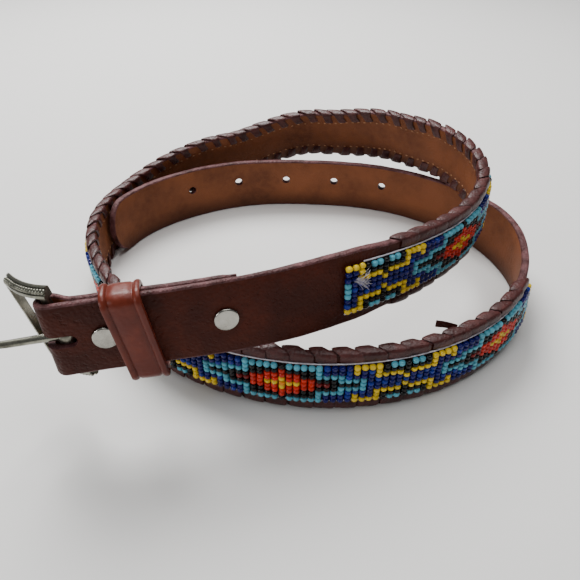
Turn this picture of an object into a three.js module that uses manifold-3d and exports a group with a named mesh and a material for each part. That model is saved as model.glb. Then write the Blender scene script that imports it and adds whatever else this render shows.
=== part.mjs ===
// Beaded leather belt, coiled about one turn and a half and standing on its lower edge.
// Millimetres, +Z up. From the front the buckle end is at the left and +X runs to the right.
import * as THREE from "three";
import { mergeVertices } from "three/addons/utils/BufferGeometryUtils.js";
import Module from "manifold-3d";

const wasm = await Module();
wasm.setup();

// Leather strap. Stations run along the coil laid out below, and the two ends lie a little past its ends.
const beltWidth = 25.4;
const coilLength = 898;
const foldEdge = -1.2;
const tipAt = 901;
const strapThickness = 2.8;
const skivedThickness = 2;
const edgeBevel = 0.5;
const tipLength = 11;
const tipBlunt = 0.14;
const touchGap = 0.3;
const crossingGap = 0.9;

// Fold at the buckle end, from the fold's edge
const foldBackLength = 54;
const foldBarRadius = 1.3;
const slotWidth = 4.2;
const slotClear = 0.8;

// Snap caps through the fold
const capRadius = 3.7;
const capRise = 1.2;
const capPostRadius = 1.6;
const capBackThickness = 0.8;
const firstCapAt = 15.3;
const secondCapAt = 49.4;

// Keeper loop
const keeperAt = 18.7;
const keeperWidth = 11;
const keeperWall = 1.1;
const keeperRidge = 0.5;
const keeperSlack = 3;
const keeperCorner = 2.2;
const keeperTilt = 5;

// Punched holes, from the first one to the tip
const holeRadius = 1.9;
const holeSpacing = 24.7;
const holeCount = 5;
const firstHoleFromTip = 148.3;
const holeRise = 2.3;

// Loomed bead band
const bandStart = 86.4;
const bandColumns = 238;
const beadPitch = 2.34;
const bandMargin = 4;
const bandHeight = 1.8;

// Whipped lace over both edges of the beaded stretch
const laceStart = 106;
const laceTurns = 70;
const lacePitch = 7.6;
const laceThickness = 0.8;
const laceGroove = 0.35;
const laceOuterLeg = 2.9;
const laceInnerLeg = 4.4;
const laceSlant = 3.2;
const laceBite = 0.5;
const laceEndLength = 6.5;
const laceEndWidth = 2.6;
const laceEndTurn = 65;
const laceEndAngle = 41.3;
const laceEndCurl = 0.78;
const laceEndDrop = 0.4;

// Buckle frame and prong, from the hinge bar outward
const frameReach = 18;
const frameHeight = 34.2;
const frameSideWidth = 3;
const frameOuterWidth = 3.2;
const frameCorner = 3.4;
const frameThickness = 3;
const frameHeel = 1.8;
const frameArch = 6;
const frameSwing = 31;
const frameTilt = 9.4;
const prongRadius = 1.2;
const prongReach = 24;
const prongEyeWall = 0.7;

// How the belt is coiled. Stations are shares of the coil's length, a turn is in degrees for
// each hundredth of the length, to the left, and a lean is in degrees towards the inside.
const startHeading = 14;
const bends = [
  { at: 0, turn: -1.8 },
  { at: 0.06, turn: 2.3 },
  { at: 0.085, turn: 3.7 },
  { at: 0.11, turn: 3.3 },
  { at: 0.14, turn: 2 },
  { at: 0.17, turn: 7.3 },
  { at: 0.195, turn: 12.7 },
  { at: 0.215, turn: 11.4 },
  { at: 0.24, turn: 5.9 },
  { at: 0.265, turn: 5.3 },
  { at: 0.305, turn: 7.4 },
  { at: 0.345, turn: 6.6 },
  { at: 0.385, turn: 1.8 },
  { at: 0.425, turn: 10.6 },
  { at: 0.465, turn: 9.1 },
  { at: 0.505, turn: 5.7 },
  { at: 0.545, turn: 4.8 },
  { at: 0.585, turn: 5.2 },
  { at: 0.625, turn: 5 },
  { at: 0.66, turn: 6 },
  { at: 0.69, turn: 6.2 },
  { at: 0.715, turn: 8.5 },
  { at: 0.745, turn: 9.2 },
  { at: 0.77, turn: 11.7 },
  { at: 0.8, turn: 5.3 },
  { at: 0.84, turn: 6.2 },
  { at: 0.88, turn: 1.6 },
  { at: 0.92, turn: 6.5 },
  { at: 0.955, turn: 5.5 },
  { at: 1, turn: 14 },
];
// Where the first turn rides on the second, its lift is the whole height of a crossing.
const lifts = [
  { at: 0, rise: 1 },
  { at: 0.085, rise: 1 },
  { at: 0.155, rise: 0.87 },
  { at: 0.235, rise: 1 },
  { at: 0.265, rise: 0.93 },
  { at: 0.31, rise: 0.74 },
  { at: 0.37, rise: 0.36 },
  { at: 0.44, rise: 0 },
  { at: 1, rise: 0 },
];
const leans = [
  { at: 0, lean: 4 },
  { at: 0.085, lean: 10 },
  { at: 0.155, lean: 1 },
  { at: 0.24, lean: 9 },
  { at: 0.32, lean: 16 },
  { at: 0.41, lean: 6 },
  { at: 0.49, lean: 0 },
  { at: 0.68, lean: 2 },
  { at: 0.73, lean: 8 },
  { at: 0.77, lean: 0 },
  { at: 0.83, lean: 3 },
  { at: 0.89, lean: 3 },
  { at: 0.95, lean: -2 },
  { at: 1, lean: -2 },
];

// Sizes that follow
const faceOffset = strapThickness / 2;
const laceReach = touchGap + laceThickness - laceBite;
const crossingLift = beltWidth + laceReach + crossingGap;
const bandWidth = beltWidth - 2 * bandMargin;
const laceLength = laceTurns * lacePitch;
const laceFinish = laceStart + laceLength;
const bandLength = bandColumns * beadPitch;
const layerStep = skivedThickness + touchGap;
const barBendRadius = foldBarRadius + touchGap + skivedThickness / 2;
const foldCentre = foldEdge + barBendRadius + skivedThickness / 2;
const outerLayer = faceOffset - skivedThickness / 2;
const rad = THREE.MathUtils.degToRad;
const barPlay = (beltWidth / 2) * Math.sin(rad(frameTilt));
const barAt = foldCentre + barPlay;
const pocketEnd = barAt + touchGap;
const pocketClosed = firstCapAt - capRadius - 0.6;
const prongEyeHalf = slotWidth / 2 - 2 * touchGap;
const prongEyeInner = foldBarRadius + touchGap + prongEyeHalf * Math.sin(rad(frameTilt));
const prongEyeOuter = prongEyeInner + prongEyeWall;
const slotLength = barAt + prongEyeOuter + slotClear;

// The value of a column of a station table at a share of the length, straight or eased between rows
function between(table, key, share, eased) {
  let row = 0;
  while (row < table.length - 2 && share > table[row + 1].at) row += 1;
  const from = table[row];
  const to = table[row + 1];
  let t = THREE.MathUtils.clamp((share - from.at) / (to.at - from.at), 0, 1);
  if (eased) t = t * t * (3 - 2 * t);
  return from[key] + (to[key] - from[key]) * t;
}

// The strap narrows a little under the lace, and eases back beyond it
function lacedShare(s) {
  const ease = lacePitch;
  const enter = THREE.MathUtils.smoothstep(s, laceStart - laceSlant - ease, laceStart - laceSlant);
  const leave = THREE.MathUtils.smoothstep(s, laceFinish + laceSlant, laceFinish + laceSlant + ease);
  return enter - leave;
}

// Frames along the middle of the strap: its centre, and the directions along, across and out
const coilStep = 1.5;
const coil = layCoil();

function layCoil() {
  const count = Math.round(coilLength / coilStep);
  const step = coilLength / count;
  const heights = [];
  for (let i = 0; i <= count; i += 1) {
    const share = i / count;
    const laceLift = laceReach * (1 - THREE.MathUtils.smoothstep(i * step, laceFinish, laceFinish + 2 * beltWidth));
    const lift = crossingLift * between(lifts, "rise", share, true) + laceLift;
    const lean = rad(between(leans, "lean", share, true));
    const rise = (beltWidth / 2) * Math.cos(lean) + faceOffset * Math.abs(Math.sin(lean));
    heights.push({ z: lift + rise, lean });
  }
  const frames = [];
  let heading = rad(startHeading);
  let x = 0;
  let y = 0;
  let previous = null;
  for (let i = 0; i <= count; i += 1) {
    const share = i / count;
    const before = heights[Math.max(i - 1, 0)];
    const after = heights[Math.min(i + 1, count)];
    const span = (Math.min(i + 1, count) - Math.max(i - 1, 0)) * step;
    const slope = (after.z - before.z) / span;
    const turn = rad(between(bends, "turn", share, false)) / (coilLength / 100);
    if (previous) heading += ((turn + previous.turn) / 2) * step;
    const run = Math.sqrt(1 - slope * slope);
    const dx = Math.cos(heading) * run;
    const dy = Math.sin(heading) * run;
    if (previous) {
      x += ((dx + previous.dx) / 2) * step;
      y += ((dy + previous.dy) / 2) * step;
    }
    const along = new THREE.Vector3(dx, dy, slope);
    const inward = new THREE.Vector3(-Math.sin(heading), Math.cos(heading), 0);
    const up = new THREE.Vector3().crossVectors(along, inward);
    const { z, lean } = heights[i];
    const across = up.multiplyScalar(Math.cos(lean)).addScaledVector(inward, Math.sin(lean));
    const out = new THREE.Vector3().crossVectors(along, across);
    frames.push({ centre: new THREE.Vector3(x, y, z), along, across, out });
    previous = { turn, dx, dy };
  }
  return { frames, step };
}

// The frame at a distance from the fold's edge; past either end it runs on straight
function frameAt(s) {
  const { frames, step } = coil;
  const place = THREE.MathUtils.clamp(s / step, 0, frames.length - 1);
  const low = Math.min(Math.floor(place), frames.length - 2);
  const t = place - low;
  const mix = (key) => frames[low][key].clone().lerp(frames[low + 1][key], t);
  const frame = { centre: mix("centre"), along: mix("along"), across: mix("across"), out: mix("out") };
  frame.along.normalize();
  frame.across.normalize();
  frame.out.normalize();
  const beyond = s - THREE.MathUtils.clamp(s, 0, coilLength);
  frame.centre.addScaledVector(frame.along, beyond);
  return frame;
}

// A point of the belt: s along it, v across it from the middle, c outward from the strap's middle
function onBelt(s, v, c) {
  const frame = frameAt(s);
  return frame.centre.addScaledVector(frame.across, v).addScaledVector(frame.out, c);
}

// A closed body through rings of equally many points, capped at both ends or joined into a loop
function throughRings(rings, looped = false) {
  const size = rings[0].length;
  const positions = rings.flat().flatMap((p) => [p.x, p.y, p.z]);
  const index = [];
  const last = looped ? rings.length : rings.length - 1;
  for (let i = 0; i < last; i += 1) {
    const a = i * size;
    const b = ((i + 1) % rings.length) * size;
    for (let j = 0; j < size; j += 1) {
      const k = (j + 1) % size;
      index.push(a + j, a + k, b + k, a + j, b + k, b + j);
    }
  }
  if (!looped) {
    const end = (rings.length - 1) * size;
    const flat = ringTriangles(rings[0]);
    for (const [p, q, r] of flat) index.push(r, q, p);
    for (const [p, q, r] of ringTriangles(rings[rings.length - 1])) index.push(end + p, end + q, end + r);
  }
  const geometry = new THREE.BufferGeometry();
  geometry.setAttribute("position", new THREE.Float32BufferAttribute(positions, 3));
  geometry.setIndex(index);
  return facingOut(geometry);
}

// Triangles that fill a ring which is nearly flat, worked out in its own plane
function ringTriangles(ring) {
  const normal = new THREE.Vector3();
  for (let i = 0; i < ring.length; i += 1) {
    const a = ring[i];
    const b = ring[(i + 1) % ring.length];
    normal.add(new THREE.Vector3().crossVectors(a.clone().sub(ring[0]), b.clone().sub(ring[0])));
  }
  normal.normalize();
  const side = ring[1].clone().sub(ring[0]).normalize();
  side.addScaledVector(normal, -side.dot(normal)).normalize();
  const rise = new THREE.Vector3().crossVectors(normal, side);
  const flat = ring.map((p) => new THREE.Vector2(p.clone().sub(ring[0]).dot(side), p.clone().sub(ring[0]).dot(rise)));
  return THREE.ShapeUtils.triangulateShape(flat, []);
}

function volumeOf(geometry) {
  const p = geometry.getAttribute("position");
  const index = geometry.getIndex();
  const a = new THREE.Vector3();
  const b = new THREE.Vector3();
  const c = new THREE.Vector3();
  let total = 0;
  for (let i = 0; i < index.count; i += 3) {
    a.fromBufferAttribute(p, index.getX(i));
    b.fromBufferAttribute(p, index.getX(i + 1));
    c.fromBufferAttribute(p, index.getX(i + 2));
    total += a.dot(b.cross(c)) / 6;
  }
  return total;
}

function facingOut(geometry) {
  if (volumeOf(geometry) > 0) return geometry;
  const index = geometry.getIndex();
  for (let i = 0; i < index.count; i += 3) {
    const first = index.getX(i);
    index.setX(i, index.getX(i + 2));
    index.setX(i + 2, first);
  }
  return geometry;
}

// A geometry drawn with x along the belt, y across it and z outward, laid on the belt
function laidOn(geometry) {
  const merged = mergedOnly(geometry);
  const p = merged.getAttribute("position");
  for (let i = 0; i < p.count; i += 1) {
    const point = onBelt(p.getX(i), p.getY(i), p.getZ(i));
    p.setXYZ(i, point.x, point.y, point.z);
  }
  return facingOut(merged);
}

function mergedOnly(geometry) {
  const plain = geometry.clone();
  plain.deleteAttribute("normal");
  plain.deleteAttribute("uv");
  return mergeVertices(plain, 1e-4);
}

function toManifold(geometry) {
  const merged = mergedOnly(geometry);
  return new wasm.Manifold(new wasm.Mesh({
    numProp: 3,
    vertProperties: new Float32Array(merged.getAttribute("position").array),
    triVerts: new Uint32Array(merged.getIndex().array),
  }));
}

function fromManifold(solid) {
  const mesh = solid.getMesh();
  const geometry = new THREE.BufferGeometry();
  geometry.setAttribute("position", new THREE.BufferAttribute(new Float32Array(mesh.vertProperties), 3));
  geometry.setIndex(new THREE.BufferAttribute(new Uint32Array(mesh.triVerts), 1));
  return geometry;
}

function cutFrom(body, cutters) {
  let solid = toManifold(body);
  for (const cutter of cutters) solid = solid.subtract(toManifold(cutter));
  return fromManifold(solid);
}

function joined(bodies) {
  const [first, ...rest] = bodies.map(toManifold);
  return fromManifold(rest.reduce((sum, body) => sum.add(body), first));
}

// Strap

// The leather's thickness in its outer layer: skived at the fold, full from the beads on
function outerThickness(s) {
  const t = THREE.MathUtils.smoothstep(s, foldBackLength, bandStart);
  return skivedThickness + (strapThickness - skivedThickness) * t;
}

function strapHalf(s) {
  const half = beltWidth / 2 - laceBite * lacedShare(s);
  const fromTip = tipAt - s;
  if (fromTip >= tipLength) return half;
  const t = 1 - Math.max(fromTip, 0) / tipLength;
  return half * Math.max(Math.sqrt(1 - t * t), tipBlunt);
}

// How far the folded-back layer lies behind the outer one: open round the bar, then closed
function layerGap(s) {
  const t = THREE.MathUtils.smoothstep(s, pocketEnd, pocketClosed);
  return 2 * barBendRadius + (layerStep - 2 * barBendRadius) * t;
}

// The pocket runs along the bar, which lies askew in it
function foldedSlant(s) {
  const enter = THREE.MathUtils.smoothstep(s, foldCentre, pocketEnd);
  const leave = THREE.MathUtils.smoothstep(s, pocketClosed, secondCapAt);
  return Math.tan(rad(frameTilt)) * (enter - leave);
}

// Stations of the folded-back layer from its free end to the fold, close together where it bends
function foldedStations() {
  const spans = [
    { from: foldBackLength, to: pocketClosed, steps: 7 },
    { from: pocketClosed, to: pocketEnd, steps: 5 },
    { from: pocketEnd, to: foldCentre, steps: 2 },
  ];
  const stations = [foldBackLength];
  for (const { from, to, steps } of spans) {
    for (let i = 1; i <= steps; i += 1) stations.push(from + (to - from) * (i / steps));
  }
  return stations;
}

// Cross-sections along the leather, from the end of the folded-back layer round the bar to the tip
function leatherSections() {
  const sections = foldedStations().map((s) => {
    const c = outerLayer - layerGap(s);
    return { s, c, face: -1, lean: 0, slant: foldedSlant(s), thickness: skivedThickness };
  });
  const bendSteps = 8;
  for (let i = 1; i < bendSteps; i += 1) {
    const angle = Math.PI * (i / bendSteps);
    const s = foldCentre - barBendRadius * Math.sin(angle);
    const c = outerLayer - barBendRadius - barBendRadius * Math.cos(angle);
    const face = -Math.cos(angle);
    sections.push({ s, c, face, lean: -Math.sin(angle), slant: 0, thickness: skivedThickness });
  }
  const stationStep = 7.5;
  const stations = Math.round((tipAt - tipLength - foldCentre) / stationStep);
  for (let i = 0; i <= stations; i += 1) {
    const s = foldCentre + (tipAt - tipLength - foldCentre) * (i / stations);
    sections.push(outerSection(s));
  }
  const tipSteps = 7;
  for (let i = 1; i <= tipSteps; i += 1) {
    sections.push(outerSection(tipAt - tipLength * (1 - Math.sin((Math.PI / 2) * (i / tipSteps)))));
  }
  return sections;
}

function outerSection(s) {
  const thickness = outerThickness(s);
  return { s, c: faceOffset - thickness / 2, face: 1, lean: 0, slant: 0, thickness };
}

function strapGeometry() {
  const rings = leatherSections().map(({ s, c, face, lean, slant, thickness }) => {
    const half = strapHalf(s);
    const bevel = Math.min(edgeBevel, half / 3);
    const t = thickness / 2;
    const outline = [
      [half - bevel, t], [half, t - bevel], [half, bevel - t], [half - bevel, -t],
      [bevel - half, -t], [-half, bevel - t], [-half, t - bevel], [bevel - half, t],
    ];
    return outline.map(([v, depth]) => onBelt(s + lean * depth - v * slant, v, c + face * depth));
  });
  return cutFrom(throughRings(rings), [slotCutter(), ...holeCutters(), ...postCutters()]);
}

// The slot through both layers that lets the prong swing
function slotCutter() {
  const half = slotWidth / 2;
  const shape = new THREE.Shape();
  shape.moveTo(foldEdge - 2 * touchGap, -half);
  shape.lineTo(slotLength - half, -half);
  shape.absarc(slotLength - half, 0, half, -Math.PI / 2, Math.PI / 2, false);
  shape.lineTo(foldEdge - 2 * touchGap, half);
  const depth = 2 * barBendRadius + 3 * skivedThickness;
  const geometry = new THREE.ExtrudeGeometry(shape, { depth, bevelEnabled: false, curveSegments: 4 });
  geometry.translate(0, 0, outerLayer + skivedThickness - depth);
  return laidOn(geometry);
}

function acrossStrap(radius, s, v, from, to, sides) {
  const pin = new THREE.CylinderGeometry(radius, radius, to - from, sides);
  pin.rotateX(Math.PI / 2);
  pin.translate(s, v, (from + to) / 2);
  return laidOn(pin);
}

function holeCutters() {
  const cutters = [];
  for (let i = 0; i < holeCount; i += 1) {
    const s = tipAt - firstHoleFromTip + i * holeSpacing;
    cutters.push(acrossStrap(holeRadius, s, holeRise, -2 * strapThickness, 2 * strapThickness, 14));
  }
  return cutters;
}

function postCutters() {
  const depth = layerStep + 2 * skivedThickness;
  return [firstCapAt, secondCapAt].map((s) => {
    return acrossStrap(capPostRadius + touchGap, s, 0, faceOffset - depth, faceOffset + 1, 12);
  });
}

// Bead band: the woven strip of seed beads on the outer face
function bandGeometry() {
  const inner = faceOffset + touchGap;
  const outer = inner + bandHeight;
  const half = bandWidth / 2;
  const round = bandHeight / 2;
  const columnsPerStation = 3;
  const stations = Math.round(bandColumns / columnsPerStation);
  const rings = [];
  for (let i = 0; i <= stations; i += 1) {
    const s = bandStart + bandLength * (i / stations);
    const outline = [
      [half, inner], [half, inner + round], [half - round / 2, outer],
      [round / 2 - half, outer], [-half, inner + round], [-half, inner],
    ];
    rings.push(outline.map(([v, c]) => onBelt(s, v, c)));
  }
  return throughRings(rings);
}

// Lace whipped round one edge, a rib for each turn
function laceOutline(side, thickness) {
  const edge = side * (beltWidth / 2 - laceBite);
  const front = faceOffset + touchGap;
  const back = -faceOffset - touchGap;
  const out = side * (touchGap + thickness);
  const gap = side * touchGap;
  const half = thickness * 0.5;
  return [
    { v: edge - side * laceOuterLeg, c: front + thickness, t: 0 },
    { v: edge + gap, c: front + thickness, t: 0.35 },
    { v: edge + out, c: front - half, t: 0.42 },
    { v: edge + out, c: back + half, t: 0.55 },
    { v: edge + gap, c: back - thickness, t: 0.62 },
    { v: edge - side * laceInnerLeg, c: back - thickness, t: 1 },
    { v: edge - side * laceInnerLeg, c: back, t: 1 },
    { v: edge + gap, c: back, t: 0.62 },
    { v: edge + gap, c: front, t: 0.35 },
    { v: edge - side * laceOuterLeg, c: front, t: 0 },
  ];
}

function lacingGeometry(side) {
  const rings = [];
  for (let i = 0; i <= 2 * laceTurns; i += 1) {
    const s = laceStart + (lacePitch / 2) * i;
    const thickness = i % 2 === 0 ? laceThickness - laceGroove : laceThickness;
    rings.push(laceOutline(side, thickness).map(({ v, c, t }) => onBelt(s + laceSlant * (0.5 - t), v, c)));
  }
  return throughRings(rings);
}

// The loose end of the lace, standing off the inner leg of the upper lacing
function laceEndGeometry() {
  const root = laceStart + laceEndTurn * lacePitch;
  const edge = beltWidth / 2 - laceBite;
  const back = -faceOffset - 2 * touchGap - laceThickness;
  const steps = 4;
  const half = laceEndWidth / 2;
  const cos = Math.cos(rad(laceEndAngle));
  const sin = Math.sin(rad(laceEndAngle));
  const rings = [];
  for (let i = 0; i <= steps; i += 1) {
    const t = i / steps;
    const s = root - laceEndLength * t * cos;
    const c = back - laceEndLength * t * sin;
    const v = edge - half - laceEndDrop + laceEndCurl * Math.sin(Math.PI * t);
    const outline = [[half, 0], [half, -laceThickness], [-half, -laceThickness], [-half, 0]];
    rings.push(outline.map(([rise, depth]) => onBelt(s + depth * sin, v + rise, c + depth * cos)));
  }
  return throughRings(rings);
}

// Keeper: a leather loop round both layers, hanging on the strap's upper edge, ridged along both rims
function keeperGeometry() {
  const front = faceOffset + capRise + 2 * touchGap;
  const back = outerLayer - layerStep - skivedThickness / 2 - capBackThickness - 3 * touchGap;
  const top = beltWidth / 2 + touchGap;
  const bottom = -beltWidth / 2 - keeperSlack;
  const loop = roundedLoop(top, bottom, front, back, keeperCorner);
  const half = keeperWidth / 2;
  const profile = [
    [-half, 0], [-half, keeperWall + keeperRidge], [-half * 0.55, keeperWall + keeperRidge],
    [-half * 0.4, keeperWall], [half * 0.4, keeperWall], [half * 0.55, keeperWall + keeperRidge],
    [half, keeperWall + keeperRidge], [half, 0],
  ];
  const centre = keeperAt + half;
  const slant = Math.tan(rad(keeperTilt));
  const rings = loop.map(({ v, c, nv, nc }) => {
    return profile.map(([s, depth]) => onBelt(centre + s - v * slant, v + nv * depth, c + nc * depth));
  });
  return throughRings(rings, true);
}

// Points round a rectangle with rounded corners, each with its outward direction
function roundedLoop(top, bottom, front, back, corner) {
  const corners = [
    { v: top - corner, c: front - corner, from: 0 },
    { v: bottom + corner, c: front - corner, from: 1 },
    { v: bottom + corner, c: back + corner, from: 2 },
    { v: top - corner, c: back + corner, from: 3 },
  ];
  const points = [];
  const steps = 4;
  for (const { v, c, from } of corners) {
    for (let i = 0; i <= steps; i += 1) {
      const angle = (Math.PI / 2) * (from + i / steps);
      const nv = Math.cos(angle);
      const nc = Math.sin(angle);
      points.push({ v: v + corner * nv, c: c + corner * nc, nv, nc });
    }
  }
  return points;
}

// Snap: a domed cap outside, a post through both layers and a plain flat back
function capGeometry(s) {
  const gapUnder = touchGap;
  const depth = skivedThickness + layerStep + touchGap;
  const profile = [
    [0, -depth - capBackThickness],
    [capRadius * 0.85, -depth - capBackThickness],
    [capRadius * 0.95, -depth],
    [capPostRadius, -depth],
    [capPostRadius, gapUnder],
    [capRadius, gapUnder],
    [capRadius, gapUnder + 0.35],
    [capRadius * 0.88, gapUnder + 0.5],
    [capRadius * 0.5, capRise - 0.12],
    [0, capRise],
  ];
  const cap = new THREE.LatheGeometry(profile.map(([r, h]) => new THREE.Vector2(r, h)), 16);
  cap.rotateX(Math.PI / 2);
  cap.translate(s, 0, faceOffset);
  return laidOn(cap);
}

// Buckle. The hinge bar lies in the fold, and the frame is swung back and hangs a little askew.
const hinge = hingeFrame();

function hingeFrame() {
  const start = frameAt(0);
  const centre = onBelt(barAt, 0, outerLayer - barBendRadius);
  const away = start.along.clone().negate();
  const inward = start.out.clone().negate();
  return { centre, basis: new THREE.Matrix4().makeBasis(away, start.across, inward) };
}

// A geometry drawn with x away from the strap, y along the bar and z inward, tilted and swung inward
function atHinge(geometry, swing, tilt) {
  const turned = geometry.clone();
  turned.applyMatrix4(new THREE.Matrix4().makeRotationY(rad(-swing)));
  turned.applyMatrix4(new THREE.Matrix4().makeRotationZ(rad(-tilt)));
  turned.applyMatrix4(hinge.basis);
  turned.translate(hinge.centre.x, hinge.centre.y, hinge.centre.z);
  return facingOut(mergedOnly(turned));
}

function buckleFrameGeometry() {
  const inner = frameHeight / 2 - frameSideWidth;
  const bar = new THREE.CylinderGeometry(foldBarRadius, foldBarRadius, 2 * inner + 1, 12);
  return joined([frameSides(inner), bar]);
}

// The frame's three sides, open towards the strap, with softened edges and arched inward
function frameSides(inner) {
  const half = frameHeight / 2;
  const window = frameReach - frameOuterWidth;
  const innerCorner = frameCorner / 3;
  const turn = Math.PI / 2;
  const shape = new THREE.Shape();
  shape.moveTo(-frameHeel, -half);
  alongSide(shape, -frameHeel, frameReach - frameCorner, -half);
  shape.absarc(frameReach - frameCorner, frameCorner - half, frameCorner, -turn, 0, false);
  shape.absarc(frameReach - frameCorner, half - frameCorner, frameCorner, 0, turn, false);
  alongSide(shape, frameReach - frameCorner, -frameHeel, half);
  shape.lineTo(-frameHeel, inner);
  alongSide(shape, -frameHeel, window - innerCorner, inner);
  shape.absarc(window - innerCorner, inner - innerCorner, innerCorner, turn, 0, true);
  shape.absarc(window - innerCorner, innerCorner - inner, innerCorner, 0, -turn, true);
  alongSide(shape, window - innerCorner, -frameHeel, -inner);
  const bevel = 0.5;
  const plate = new THREE.ExtrudeGeometry(shape, {
    depth: frameThickness - 2 * bevel, bevelThickness: bevel, bevelSize: bevel, bevelOffset: -bevel,
    bevelSegments: 1, curveSegments: 4,
  });
  plate.translate(0, 0, -frameThickness / 2 + bevel);
  const p = plate.getAttribute("position");
  for (let i = 0; i < p.count; i += 1) {
    const share = Math.max(p.getX(i), 0) / frameReach;
    p.setZ(i, p.getZ(i) + frameArch * share * share);
  }
  return plate;
}

// A straight side in short steps, so that it can arch
function alongSide(shape, from, to, y) {
  const steps = 5;
  for (let i = 1; i <= steps; i += 1) shape.lineTo(from + (to - from) * (i / steps), y);
}

function prongGeometry() {
  const corners = [
    [prongEyeInner, -prongEyeHalf], [prongEyeOuter, -prongEyeHalf],
    [prongEyeOuter, prongEyeHalf], [prongEyeInner, prongEyeHalf], [prongEyeInner, -prongEyeHalf],
  ];
  const eye = new THREE.LatheGeometry(corners.map(([r, h]) => new THREE.Vector2(r, h)), 20);
  const sections = [
    { x: prongEyeInner + prongEyeWall / 2, r: prongRadius * 1.2 },
    { x: prongReach * 0.3, r: prongRadius * 1.1 },
    { x: prongReach * 0.7, r: prongRadius },
    { x: prongReach * 0.96, r: prongRadius * 0.8 },
    { x: prongReach, r: prongRadius * 0.35 },
  ];
  const sides = 10;
  const rings = sections.map(({ x, r }) => Array.from({ length: sides }, (_, i) => {
    const angle = (2 * Math.PI * i) / sides;
    return new THREE.Vector3(x, r * Math.cos(angle), r * Math.sin(angle));
  }));
  return joined([eye, throughRings(rings)]);
}

// Colours and finishes
const colours = {
  strap: { color: 0x4a2218, roughness: 0.55, metalness: 0 },
  beads: { color: 0x2b5d8a, roughness: 0.3, metalness: 0 },
  lace: { color: 0x3a1f1c, roughness: 0.6, metalness: 0 },
  keeper: { color: 0x5a2418, roughness: 0.35, metalness: 0 },
  metal: { color: 0x9a958c, roughness: 0.35, metalness: 1 },
};

const group = new THREE.Group();

function addPiece(name, geometry, look) {
  const plain = geometry.index ? geometry : mergedOnly(geometry);
  plain.computeVertexNormals();
  const mesh = new THREE.Mesh(plain, new THREE.MeshStandardMaterial(look));
  mesh.name = name;
  group.add(mesh);
}

addPiece("strap", strapGeometry(), colours.strap);
addPiece("bead_band", bandGeometry(), colours.beads);
addPiece("lacing_top", lacingGeometry(1), colours.lace);
addPiece("lacing_bottom", lacingGeometry(-1), colours.lace);
addPiece("lace_end", laceEndGeometry(), colours.lace);
addPiece("keeper", keeperGeometry(), colours.keeper);
addPiece("cap_1", capGeometry(firstCapAt), colours.metal);
addPiece("cap_2", capGeometry(secondCapAt), colours.metal);
addPiece("buckle_frame", atHinge(buckleFrameGeometry(), frameSwing, frameTilt), colours.metal);
addPiece("buckle_prong", atHinge(prongGeometry(), 0, 0), colours.metal);

// The origin is the middle of the belt's box, on the surface it stands on
const box = new THREE.Box3().setFromObject(group);
const middle = box.getCenter(new THREE.Vector3());
group.position.set(-middle.x, -middle.y, -box.min.z);

export default group;
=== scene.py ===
# %% [markdown]
# # Beaded belt
# The real thing is a leather belt with a loomed band of seed beads, laced edges and a hinged buckle. It
# is coiled about one turn and a half and stands on its lower edge. It could be modelled flat and bent
# with a Curve modifier, but then each piece would need one of its own. Here a function lays every piece
# on one path: a point of the belt has a distance along it, a height across it and a depth outwards from
# its middle.

import bpy
import numpy as np
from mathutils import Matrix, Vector


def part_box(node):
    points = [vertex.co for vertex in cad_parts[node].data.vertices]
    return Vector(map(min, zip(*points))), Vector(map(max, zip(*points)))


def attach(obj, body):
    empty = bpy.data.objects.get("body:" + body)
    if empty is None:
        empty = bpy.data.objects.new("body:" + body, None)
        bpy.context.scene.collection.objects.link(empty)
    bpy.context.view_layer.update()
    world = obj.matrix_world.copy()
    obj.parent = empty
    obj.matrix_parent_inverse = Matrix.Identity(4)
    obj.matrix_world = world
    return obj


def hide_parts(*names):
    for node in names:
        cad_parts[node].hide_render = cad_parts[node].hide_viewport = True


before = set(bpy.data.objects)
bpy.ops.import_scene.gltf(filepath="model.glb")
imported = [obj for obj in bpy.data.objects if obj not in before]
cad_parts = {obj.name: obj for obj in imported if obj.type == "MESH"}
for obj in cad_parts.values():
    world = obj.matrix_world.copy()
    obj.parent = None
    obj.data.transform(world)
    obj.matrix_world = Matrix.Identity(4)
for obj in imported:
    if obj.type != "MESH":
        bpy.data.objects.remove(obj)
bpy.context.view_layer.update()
rng = np.random.default_rng(7)
MM = 0.001
print("nodes:", ", ".join(sorted(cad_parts)))

# %% [markdown]
# ## Sizes
# The real sizes come from counting bead rows in a photo. They could be typed where they are used, but a
# size that two pieces share would then be written twice. Named values in millimetres, the same as in the
# CAD source, keep the strap, the beads and the lace in step.

# %% Sizes
WIDTH = 25.4
COIL_LENGTH = 898
FOLD_EDGE = -1.2
TIP_AT = 901
THICKNESS = 2.8
SKIVED = 2
FACE = THICKNESS / 2
GAP = 0.3
FOLD_BACK = 54
BAR_RADIUS = 1.3
BEND_RADIUS = BAR_RADIUS + GAP + SKIVED / 2
FOLD_CENTRE = FOLD_EDGE + BEND_RADIUS + SKIVED / 2
OUTER_LAYER = FACE - SKIVED / 2
LAYER_STEP = SKIVED + GAP
TILT = np.radians(9.4)
SWING = np.radians(31)
BAR_AT = FOLD_CENTRE + WIDTH / 2 * np.sin(TILT)
CAPS_AT = {"cap_1": 15.3, "cap_2": 49.4}
CAP_RADIUS = 3.7
POCKET_END = BAR_AT + GAP
POCKET_CLOSED = CAPS_AT["cap_1"] - CAP_RADIUS - 0.6
BAND_START = 86.4
COLUMNS = 238
PITCH = 2.34
BAND_END = BAND_START + COLUMNS * PITCH
ROW_PITCH = 1.85
LACE_START = 106
LACE_TURNS = 70
LACE_PITCH = 7.6
LACE_FINISH = LACE_START + LACE_TURNS * LACE_PITCH
LACE_SLANT = 3.2
LACE_BITE = 0.5
LACE_REACH = 0.6
LACED_EDGE = WIDTH / 2 - LACE_BITE
CROSSING_LIFT = WIDTH + LACE_REACH + 0.9
TIP = 11
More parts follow.
